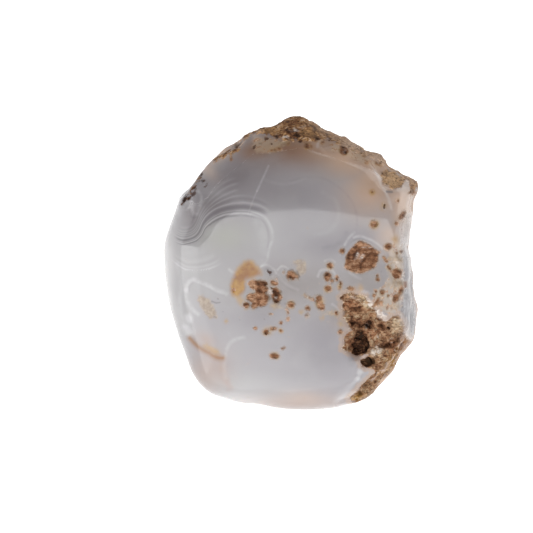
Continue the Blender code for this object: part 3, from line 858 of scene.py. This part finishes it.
def press(stone, name, weights):
    """Raises or sinks the surface where the weights say, by the relief of that name."""
    height, still_level, kind, size, depth = RELIEF[name]
    group = stone.vertex_groups.new(name=name)
    rounded = np.round(np.clip(weights, 0, 1) * WEIGHT_STEPS).astype(int)
    for step in range(1, WEIGHT_STEPS + 1):
        members = np.nonzero(rounded == step)[0]
        if len(members):
            group.add(members.tolist(), step / WEIGHT_STEPS, "REPLACE")
    only(stone)
    relief = stone.modifiers.new(name, "DISPLACE")
    relief.vertex_group = name
    relief.strength = height * MM
    relief.direction = "NORMAL"
    relief.texture_coords = "LOCAL"
    relief.mid_level = still_level
    if kind:
        relief.texture = bpy.data.textures.new(name, kind)
        relief.texture.noise_scale = size * MM
    if kind == "CLOUDS":
        relief.texture.noise_depth = depth
    bpy.ops.object.modifier_apply(modifier=relief.name)
    stone.vertex_groups.remove(stone.vertex_groups[name])


def marks_of_face(stone):
    """Where the marks are, as a depth in pixels for each vertex."""
    points = positions(stone)
    places = photo_places(points)
    up = normals(stone)[:, 2]
    front = smooth_step(*FRONT_LEAN, up)
    marks = {
        "brown": depth_in_marks(places, BROWN_OUTLINES, BROWN_ELLIPSES, BROWN_SPOTS),
        "grey": depth_in_marks(places, spots=GREY_SPOTS),
        "ochre": depth_in_marks(places, OCHRE_OUTLINES),
        "tan": depth_in_marks(places, TAN_OUTLINES, TAN_ELLIPSES),
        "broken": depth_in_marks(places, BROKEN_OUTLINES),
        "dark": depth_in_marks(places, DARK_OUTLINES, DARK_ELLIPSES, DARK_SPOTS),
        "quartz": depth_in_marks(places, ellipses=QUARTZ_ELLIPSES),
        "milk_marks": depth_in_marks(places, ellipses=MILK_ELLIPSES),
        "rind": depth_in_marks(places, RIND_OUTLINES, spots=RIND_RUNS),
        "matte": depth_in_marks(places, MATTE_OUTLINES),
        "frost": depth_in_marks(places, FROST_OUTLINES),
        "speckled": depth_in_marks(places, SPECKLED_OUTLINES),
    }
    for name, depth in marks.items():
        marks[name] = depth * front - FAR * (1 - front)
    return points, places, up, front, marks


def skin_of_side(points, up, marks):
    """1 on the natural skin of the top and right sides, 0 on polish."""
    angle = np.degrees(np.arctan2(points[:, 1], points[:, 0]))
    around = smooth_step(*SKIN_START, angle) * (1 - smooth_step(*SKIN_END, angle))
    side = 1 - smooth_step(*SKIN_LEAN, up)
    skin = around * side * smooth_step(*SKIN_RISE, points[:, 2])
    return skin * (1 - smooth_step(*SKIN_AT_FROST, marks["frost"]))


def press_relief(stone, up, skin, marks):
    """Presses the fine relief into the stone."""
    rind, broken, dark, brown = (
        smooth_step(*RELIEF_EDGES[name], marks[name])
        for name in ("rind", "broken", "dark", "brown")
    )
    brown = brown * smooth_step(*FACE_LEAN, up)
    press(stone, "skin", skin * (1 - np.maximum(rind, broken)))
    press(stone, "rind", rind)
    press(stone, "rind_grain", rind)
    press(stone, "broken", broken)
    press(stone, "broken_grain", broken)
    press(stone, "core", dark * broken)
    press(stone, "pits", dark * (1 - broken))
    press(stone, "marks", brown * (1 - rind))
    press(stone, "mark_grain", brown)
    keep_above_floor(stone)


def roughest(marks):
    """How deep each vertex is inside any rough ground, in pixels."""
    return np.max([marks[kind] for kind in ("brown", "broken", "dark", "rind")], axis=0)


def divide_marks(stone):
    """Divides the faces of the rough ground once more, and those of the small marks twice."""
    _, _, up, _, marks = marks_of_face(stone)
    rough = np.maximum(roughest(marks), marks["grey"])
    divide_faces(stone, (rough > MARKS_FROM) & (up > MARKS_LEAN))
    places = photo_places(positions(stone))
    spots = depth_in_marks(places, spots=BROWN_SPOTS + GREY_SPOTS + DARK_SPOTS)
    divide_faces(stone, (spots > SPOTS_FROM) & (normals(stone)[:, 2] > SPOTS_LEAN))


def shape_and_mark(stone):
    """Presses the fine relief into the stone, and stores where its marks are. Gives how deep
    each vertex is inside the duller finish."""
    divide_marks(stone)
    points, places, up, front, marks = marks_of_face(stone)
    skin = skin_of_side(points, up, marks)
    store_places(stone, places, points)
    store(stone, "front", front)
    store(stone, "skin", skin)
    store(stone, "glow", glow_about(places, GLOWS))
    store(stone, "rusty", glow_about(places, RUSTY))
    for name, depth in marks.items():
        store(stone, name, depth)
    for kind, table in (("tone", TONES), ("ground_tone", GROUND_TONES), ("rind_tone", RIND_TONES)):
        for number, (_, _, regions) in enumerate(table):
            store(stone, f"{kind}_{number}", soft_regions(places, regions))
    banded = soft_regions(places, BANDED_AREA)
    store(stone, "banded", smooth_step(*BANDED_EDGE, banded) * front)
    store(stone, "band", band_numbers(places))
    depth = np.maximum(roughest(marks), (skin - SKIN_HALF) * 2)
    store(stone, "roughest", np.maximum(depth, np.minimum(marks["frost"], FROST_BUMP)))
    press_relief(stone, up, skin, marks)
    only(stone)
    bpy.ops.object.shade_smooth()
    return np.maximum(depth, marks["matte"])


def give_finishes(stone, depth):
    """Polish on most faces, and the duller finish on those inside rough ground."""
    stone.data.materials.clear()
    lines = line_group()
    stone.data.materials.append(agate_material("polished_agate", POLISH_SPECULAR, lines))
    stone.data.materials.append(agate_material("rough_agate", ROUGH_SPECULAR, lines))
    rough_faces = [
        int(np.mean(depth[list(face.vertices)]) > 0.0)
        for face in stone.data.polygons
    ]
    stone.data.polygons.foreach_set("material_index", rough_faces)


class Painter:
    """Adds nodes to a tree and links them."""

    def __init__(self, tree):
        self.tree = tree
        self.nodes = tree.nodes

    def put(self, socket, value):
        """Links a socket or sets its value."""
        if isinstance(value, bpy.types.NodeSocket):
            self.tree.links.new(value, socket)
        else:
            socket.default_value = value

    def attribute(self, name, output="Fac"):
        node = self.nodes.new("ShaderNodeAttribute")
        node.attribute_name = name
        return node.outputs[output]

    def math(self, operation, first, second=0.0, clamp=False):
        node = self.nodes.new("ShaderNodeMath")
        node.operation = operation
        self.put(node.inputs[0], first)
        self.put(node.inputs[1], second)
        if not clamp:
            return node.outputs[0]
        # A clamp of its own: a Math node's own one is worked out late, and fills Cycles' stack.
        held = self.nodes.new("ShaderNodeClamp")
        self.put(held.inputs["Value"], node.outputs[0])
        return held.outputs["Result"]

    def plus(self, first, second):
        return self.math("ADD", first, second)

    def less(self, first, second, clamp=False):
        return self.math("SUBTRACT", first, second, clamp)

    def times(self, first, second, clamp=False):
        return self.math("MULTIPLY", first, second, clamp)

    def larger(self, first, second):
        return self.math("MAXIMUM", first, second)

    def vector(self, operation, first, second):
        node = self.nodes.new("ShaderNodeVectorMath")
        node.operation = operation
        self.put(node.inputs[0], first)
        self.put(node.inputs[1], second)
        return node.outputs["Value" if operation == "DOT_PRODUCT" else "Vector"]

    def step(self, low, high, value):
        """0 at low, 1 at high, and a smooth change between them."""
        node = self.nodes.new("ShaderNodeMapRange")
        node.interpolation_type = "SMOOTHSTEP"
        node.clamp = False
        self.put(node.inputs["Value"], value)
        self.put(node.inputs["From Min"], low)
        self.put(node.inputs["From Max"], high)
        return node.outputs["Result"]

    def mix(self, share, below, above):
        node = self.nodes.new("ShaderNodeMix")
        node.data_type = "RGBA"
        self.put(node.inputs["Factor"], share)
        colours = [socket for socket in node.inputs if socket.type == "RGBA"]
        self.put(colours[0], below)
        self.put(colours[1], above)
        return next(socket for socket in node.outputs if socket.type == "RGBA")

    def noise(self, size, detail, roughness, distortion, turn):
        """Noise between about 0 and 1, of that size in millimetres, turned about Z."""
        sizes = size if isinstance(size, tuple) else (size, size, size)
        node = self.nodes.new("ShaderNodeTexNoise")
        place = self.nodes.new("ShaderNodeTexCoord")
        mapping = self.nodes.new("ShaderNodeMapping")
        mapping.inputs["Rotation"].default_value = (0.0, 0.0, math.radians(turn))
        mapping.inputs["Scale"].default_value = tuple(1 / (MM * length) for length in sizes)
        self.put(mapping.inputs["Vector"], place.outputs["Object"])
        self.put(node.inputs["Vector"], mapping.outputs["Vector"])
        node.inputs["Scale"].default_value = 1.0
        node.inputs["Detail"].default_value = detail
        node.inputs["Roughness"].default_value = roughness
        node.inputs["Distortion"].default_value = distortion
        return node.outputs["Fac"]

    def ramp(self, value, stops):
        """The colour at a value, between the colours at their places along it."""
        node = self.nodes.new("ShaderNodeValToRGB")
        self.put(node.inputs["Fac"], value)
        elements = node.color_ramp.elements
        elements.remove(elements[1])
        for number, (place, colour) in enumerate(stops):
            stop = elements[0] if number == 0 else elements.new(place)
            stop.position = place
            stop.color = colour
        return node


def line_group():
    """A node group that draws one curved stretch of a line between two places."""
    group = bpy.data.node_groups.new("line_stretch", "ShaderNodeTree")
    for name in ("Place", "Start", "Along", "Aside"):
        group.interface.new_socket(name, in_out="INPUT", socket_type="NodeSocketVector")
    for name in ("Bulge", "Width", "Length", "Before"):
        group.interface.new_socket(name, in_out="INPUT", socket_type="NodeSocketFloat")
    group.interface.new_socket("Mask", in_out="OUTPUT", socket_type="NodeSocketFloat")
    painter = Painter(group)
    given = group.nodes.new("NodeGroupInput").outputs
    result = group.nodes.new("NodeGroupOutput")
    offset = painter.vector("SUBTRACT", given["Place"], given["Start"])
    along = painter.vector("DOT_PRODUCT", offset, given["Along"])
    aside = painter.vector("DOT_PRODUCT", offset, given["Aside"])
    share = painter.math("DIVIDE", along, given["Length"], True)
    arch = painter.times(painter.less(1.0, share), share)
    bow = painter.times(arch, given["Bulge"])
    past = painter.less(along, painter.times(share, given["Length"]))
    away = painter.less(aside, bow)
    square = painter.plus(painter.times(past, past), painter.times(away, away))
    far = painter.math("DIVIDE", painter.math("SQRT", square), given["Width"])
    stretch = painter.step(1.0, 0.0, far)
    painter.put(result.inputs["Mask"], painter.larger(stretch, given["Before"]))
    return group


class StonePainter(Painter):
    """A painter that knows the stone's grains, its marks' edges and its face's places."""

    def __init__(self, tree, lines):
        super().__init__(tree)
        self.lines = lines
        self.place = self.vector("MULTIPLY", self.attribute("place", "Vector"), (1.0, 1.0, 0.0))
        self.front = self.attribute("front")
        self.grains = {name: self.noise(*settings) for name, settings in GRAINS.items()}
        vein = self.math("ABSOLUTE", self.less(self.grains["veins"], GRAIN_MIDDLE))
        self.cracks = self.step(*RANGES["cracks"], vein)

    def line(self, points, width):
        """The mask of a line through those points, an arc for each three of them."""
        mask = 0.0
        for start, middle, end in zip(points[:-2:2], points[1:-1:2], points[2::2]):
            first, bend, last = (Vector((*point, 0)) for point in (start, middle, end))
            along = (last - first).normalized()
            aside = Vector((-along.y, along.x, 0))
            node = self.nodes.new("ShaderNodeGroup")
            node.node_tree = self.lines
            self.put(node.inputs["Place"], self.place)
            self.put(node.inputs["Start"], first)
            self.put(node.inputs["Along"], along)
            self.put(node.inputs["Aside"], aside)
            self.put(node.inputs["Bulge"], (bend - first).dot(aside) * 4)
            self.put(node.inputs["Width"], width)
            self.put(node.inputs["Length"], (last - first).length)
            self.put(node.inputs["Before"], mask)
            mask = node.outputs["Mask"]
        return mask

    def swing(self, grain, strength):
        """How far a grain is from its middle, times a strength."""
        return self.times(self.less(self.grains[grain], GRAIN_MIDDLE), strength)

    def wander(self, mark):
        """How far a mark's edge strays from its outline, in pixels."""
        (grain, pixels), *others = EDGES[mark][0].items()
        shift = self.swing(grain, pixels * 2)
        for grain, pixels in others:
            shift = self.plus(shift, self.swing(grain, pixels * 2))
        return shift

    def inside(self, depth, shift, soft):
        """1 inside marks whose edges are shifted and softened by so many pixels."""
        return self.step(-soft, soft, self.plus(depth, shift))

    def mark(self, name):
        """1 inside the marks of that name, with their own wandering soft edge."""
        return self.inside(self.attribute(name), self.wander(name), EDGES[name][1])

    def where(self, name, grain):
        """1 where a grain is past its range of that name."""
        return self.step(*RANGES[name], self.grains[grain])

    def lay(self, colour, name, share, above):
        """Lays a colour or a pigment over a colour, as much as its cover says."""
        above = pigment(above) if isinstance(above, str) else above
        return self.mix(self.times(share, COVER[name]), colour, above)

    def pigments(self, value, name):
        """The colour of the rough finish of that name, at a value."""
        stops = [(place, pigment(tint)) for place, tint in STOPS[name]]
        return self.ramp(value, stops).outputs["Color"]

    def rough_colour(self, name, darkness=None):
        """The varied colour of the rough finish of that name, darker in the dark hollows."""
        shade, darker, swings = SHADES[name]
        if darkness is not None:
            shade = self.plus(self.times(darkness, darker), shade)
        for grain, strength in swings.items():
            shade = self.plus(shade, self.swing(grain, strength))
        return self.pigments(shade, name)


def paint_tones(painter, colour, table, kind):
    """Lays the soft regions of a table over a colour."""
    for number, (name, strength, _) in enumerate(table):
        share = painter.times(painter.attribute(f"{kind}_{number}"), strength)
        colour = painter.mix(share, colour, pigment(name))
    return colour


def paint_bands(painter, colour):
    """Lays the swirl's growth bands over a colour."""
    lowest, highest = BANDS[0][0], BANDS[-1][0]
    band = painter.plus(painter.attribute("band"), painter.swing("wide", BAND_WAVER))
    along = painter.math("DIVIDE", painter.less(band, lowest), highest - lowest, True)
    # The ramp's alpha runs from 0 for the darkest band to 1 for the lightest.
    stops = [
        ((place - lowest) / (highest - lowest), (1.0, 1.0, 1.0, (1 + lightness) / 2))
        for place, lightness in BANDS
    ]
    lightness = painter.less(painter.ramp(along, stops).outputs["Alpha"], 0.5)
    here = painter.attribute("banded")
    for sign, name, strength in BAND_COVER:
        share = painter.times(painter.times(lightness, sign, True), here)
        colour = painter.mix(painter.times(share, strength), colour, pigment(name))
    return colour


def paint_chalcedony(painter):
    """The clear stone: its soft regions with the painted rim light, growth bands, veins with a painted
    highlight, and milky marks.
    """
    colour = paint_tones(painter, pigment("chalcedony"), TONES, "tone")
    colour = painter.lay(colour, "clouds", painter.where("clouds", "broad"), "milk")
    colour = paint_bands(painter, colour)
    whole = painter.times(painter.where("whole_lines", "wide"), painter.front)
    for tint, strength, width, points in LINES:
        share = painter.times(painter.line(points, width), strength)
        colour = painter.mix(painter.times(share, whole), colour, pigment(tint))
    return painter.lay(colour, "milk_marks", painter.mark("milk_marks"), "white_vein_and_highlight")


def paint_stains(painter, colour):
    """The stains inside the clear stone: glows, ochre, the orange vein, tan and grey marks."""
    glow = painter.times(painter.attribute("glow"), painter.where("glow", "wide"))
    colour = painter.lay(colour, "glow", glow, "ochre_pale")
    ochre = painter.mark("ochre")
    ochre_tone = painter.mix(painter.where("pale_ochre", "wide"), pigment("ochre"), pigment("ochre_pale"))
    ochre_tone = painter.lay(ochre_tone, "rusty", painter.attribute("rusty"), "ochre")
    colour = painter.mix(ochre, colour, ochre_tone)
    for width, strength in ORANGE_LAYERS:
        vein = painter.times(painter.line(ORANGE_VEIN, width), strength)
        colour = painter.mix(vein, colour, pigment("orange"))
    speckled = painter.mark("speckled")
    colour = painter.lay(colour, "speckled", speckled, "tan_light")
    specks = painter.times(speckled, painter.where("specks", "specks"))
    colour = painter.lay(colour, "specks", specks, painter.pigments(painter.grains["grain"], "specks"))
    colour = painter.lay(colour, "tan", painter.mark("tan"), painter.rough_colour("tan"))
    return painter.lay(colour, "grey", painter.mark("grey"), "taupe")


def paint_inclusions(painter, colour, darkness):
    """The brown inclusions, with a faint stain about each. Gives the colour and their share."""
    depth = painter.attribute("brown")
    halo = painter.inside(depth, painter.wander("halo"), EDGES["halo"][1])
    colour = painter.lay(colour, "halo", halo, "ochre_pale")
    brown = painter.inside(depth, painter.wander("brown"), EDGES["brown"][1])
    brown = painter.times(brown, painter.front)
    return painter.mix(brown, colour, painter.rough_colour("brown", darkness)), brown


def paint_broken_ground(painter, colour, darkness):
    """The rough ground where the stone has broken away. Gives the colour and its share."""
    depth = painter.attribute("broken")
    ragged = painter.wander("broken")
    broken = painter.inside(depth, ragged, EDGES["broken"][1])
    fringe = painter.inside(painter.plus(depth, FRINGE_REACH), ragged, FRINGE_SOFT)
    colour = painter.lay(colour, "fringe", fringe, "tan")
    ground = painter.rough_colour("broken", darkness)
    ground = paint_tones(painter, ground, GROUND_TONES, "ground_tone")
    ground = painter.lay(ground, "cracks", painter.cracks, "brown_dark")
    return painter.mix(broken, colour, ground), broken


def paint_rind(painter, colour, darkness):
    """The brown rind and the natural skin of the sides. Gives the colour and their share."""
    rind = painter.mark("rind")
    tone = painter.rough_colour("rind", darkness)
    tone = paint_tones(painter, tone, RIND_TONES, "rind_tone")
    tone = painter.lay(tone, "rind_specks", painter.where("rind_specks", "grain"), "rind_dark")
    colour = painter.mix(rind, colour, tone)
    skin = painter.times(painter.attribute("skin"), painter.where("skin", "wide"))
    skin_tone = painter.rough_colour("skin")
    only_skin = painter.times(skin, painter.less(1.0, rind))
    colour = painter.lay(colour, "skin", only_skin, skin_tone)
    return colour, painter.larger(rind, painter.times(skin, DULLNESS["skin"]))


def paint_crystals(painter, colour):
    """The white quartz flecks, and the frosted right edge. Gives the colour and the frost's share."""
    quartz = painter.times(painter.mark("quartz"), painter.where("quartz", "flakes"))
    colour = painter.lay(colour, "quartz", quartz, "quartz")
    frost = painter.mark("frost")
    threads = painter.where("threads", "threads")
    frost_tone = painter.mix(threads, pigment("chalcedony"), pigment("white_vein_and_highlight"))
    return painter.lay(colour, "frost", frost, frost_tone), frost


def depth_in_dark(painter):
    """How deep each point is inside the dark hollows, which are flaky in the broken ground."""
    ragged = painter.wander("dark")
    flaky_soft = EDGES["flaky_dark"][1]
    in_broken = painter.step(-flaky_soft, flaky_soft, painter.attribute("broken"))
    flaky = painter.times(in_broken, painter.wander("flaky_dark"))
    return painter.plus(painter.attribute("dark"), painter.plus(ragged, flaky))


def agate_material(name, specular, lines):
    """Chalcedony with its bands, inclusions, rind and broken ground, in one of two finishes."""
    material = bpy.data.materials.new(name)
    material.use_nodes = True
    painter = StonePainter(material.node_tree, lines)
    surface = painter.nodes["Principled BSDF"]
    dark_depth = depth_in_dark(painter)
    dark_soft = EDGES["dark"][1]
    darkness = painter.step(-dark_soft, dark_soft, dark_depth)
    colour = paint_chalcedony(painter)
    colour = paint_stains(painter, colour)
    dark_stain = painter.step(-DARK_STAIN_SOFT, DARK_STAIN_SOFT, dark_depth)
    colour = painter.lay(colour, "dark", dark_stain, "brown_dark")
    colour, brown = paint_inclusions(painter, colour, darkness)
    colour, broken = paint_broken_ground(painter, colour, darkness)
    colour, rind = paint_rind(painter, colour, darkness)
    colour, frost = paint_crystals(painter, colour)
    painter.put(surface.inputs["Base Color"], colour)

    dull = painter.larger(painter.larger(rind, broken), darkness)
    dull = painter.larger(dull, painter.times(painter.mark("matte"), DULLNESS["matte"]))
    dull = painter.larger(dull, painter.times(brown, DULLNESS["brown"]))
    dullest = painter.larger(dull, painter.times(frost, DULLNESS["frost"]))
    roughness = painter.plus(POLISH_ROUGHNESS, painter.times(dullest, DULL_ROUGHNESS))
    painter.put(surface.inputs["Roughness"], roughness)
    translucent = painter.times(painter.less(1.0, dull, True), TRANSLUCENCE)
    painter.put(surface.inputs["Subsurface Weight"], translucent)
    surface.inputs["Subsurface Radius"].default_value = SCATTER_BY_COLOUR
    surface.inputs["Subsurface Scale"].default_value = SCATTER_DEPTH
    surface.inputs["IOR"].default_value = AGATE_IOR
    surface.inputs["Specular IOR Level"].default_value = specular

    lumps = painter.plus(painter.grains["fine"], painter.grains["flakes"])
    lumps = painter.less(lumps, painter.cracks)
    bumpy = painter.step(-BUMPY_EDGE, BUMPY_EDGE, painter.attribute("roughest"))
    bump = painter.nodes.new("ShaderNodeBump")
    bump.inputs["Strength"].default_value = BUMP_STRENGTH
    bump.inputs["Distance"].default_value = BUMP_HEIGHT
    painter.put(bump.inputs["Height"], painter.times(lumps, bumpy))
    painter.put(surface.inputs["Normal"], bump.outputs["Normal"])
    return material


def make_stone():
    """The stone with its fine relief and finish, riding on the one body."""
    stone = copy_of_solid()
    remake_ground_flat(stone)
    divide(stone)
    give_finishes(stone, shape_and_mark(stone))
    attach(stone, "root")
    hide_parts("agate")


def floor_material():
    """Plain pale paper."""
    material = bpy.data.materials.new("pale_paper")
    material.use_nodes = True
    surface = material.node_tree.nodes["Principled BSDF"]
    surface.inputs["Base Color"].default_value = PAPER
    surface.inputs["Roughness"].default_value = PAPER_ROUGHNESS
    surface.inputs["Specular IOR Level"].default_value = PAPER_SPECULAR
    surface.inputs["Emission Color"].default_value = WHITE
    surface.inputs["Emission Strength"].default_value = PAPER_GLOW
    return material


def make_floor():
    """The pale floor that the stone lies on."""
    bpy.ops.object.select_all(action="DESELECT")
    bpy.ops.mesh.primitive_plane_add(size=FLOOR_SIZE, location=(0.0, 0.0, 0.0))
    floor = bpy.context.object
    floor.name = "floor"
    floor.data.materials.append(floor_material())


def panel(name, place, turn, width, height, brightness):
    """A soft rectangular light of that brightness, which faces down before its turn in degrees."""
    bpy.ops.object.select_all(action="DESELECT")
    bpy.ops.object.light_add(type="AREA", location=place)
    lamp = bpy.context.object
    lamp.name = name
    lamp.data.shape = "RECTANGLE"
    lamp.data.size = width
    lamp.data.size_y = height
    lamp.data.energy = brightness * width * height * math.pi
    lamp.rotation_euler = [math.radians(angle) for angle in turn]
    lamp.visible_camera = False


def light_studio():
    """A tent of plain soft light that is open on the far side."""
    scene = bpy.context.scene
    scene.view_settings.view_transform = "Standard"
    world = bpy.data.worlds.new("studio")
    world.use_nodes = True
    room = world.node_tree.nodes["Background"]
    room.inputs["Color"].default_value = ROOM_COLOUR
    room.inputs["Strength"].default_value = ROOM_BRIGHTNESS
    scene.world = world
    width = 2 * TENT_HALF_WIDTH
    depth = TENT_HALF_WIDTH + TENT_FAR_EDGE
    middle = (TENT_FAR_EDGE - TENT_HALF_WIDTH) / 2
    half_height = TENT_HEIGHT / 2
    side = TENT_HALF_WIDTH
    panel("top_panel", (0.0, middle, TENT_HEIGHT), (0, 0, 0), width, depth, TOP_BRIGHTNESS)
    panel("left_panel", (-side, middle, half_height), (0, -90, 0), TENT_HEIGHT, depth, LEFT_BRIGHTNESS)
    panel("right_panel", (side, middle, half_height), (0, 90, 0), TENT_HEIGHT, depth, RIGHT_BRIGHTNESS)
    panel("near_panel", (0.0, -side, half_height), (90, 0, 0), width, TENT_HEIGHT, NEAR_BRIGHTNESS)


def place_camera():
    """The camera looks straight down on the stone, with the photograph's framing."""
    bpy.ops.object.select_all(action="DESELECT")
    bpy.ops.object.camera_add(location=(CAMERA_X, CAMERA_Y, CAMERA_HEIGHT), rotation=(0.0, 0.0, 0.0))
    camera = bpy.context.object
    camera.name = "camera"
    camera.data.sensor_width = SENSOR
    camera.data.lens = LENS
    bpy.context.scene.camera = camera


place_camera()
light_studio()
make_floor()
make_stone()
